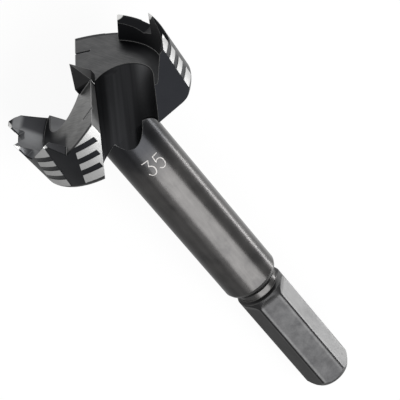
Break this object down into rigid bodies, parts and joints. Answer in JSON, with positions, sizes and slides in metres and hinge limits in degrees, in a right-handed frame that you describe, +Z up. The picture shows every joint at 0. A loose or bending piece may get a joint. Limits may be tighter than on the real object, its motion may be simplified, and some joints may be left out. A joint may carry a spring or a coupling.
{
  "type": "forstner bit",
  "caption": "Wood-boring bit with a toothed rim, straight lips, a pyramid centre point, a round shank and a blunted hex drive end.",
  "frame": {"origin": "on the surface that the bit lies on, under the middle of its box", "axes": "+Z up, +X along the bit from the hex end towards the centre point"},
  "size_m": [0.0898, 0.0344, 0.0295],
  "materials": {
    "tool_steel": "black oxide, with bright ground lands and tooth tips"
  },
  "bodies": {
    "root": {"forstner_bit": "tool_steel"}
  },
  "joints": []
}
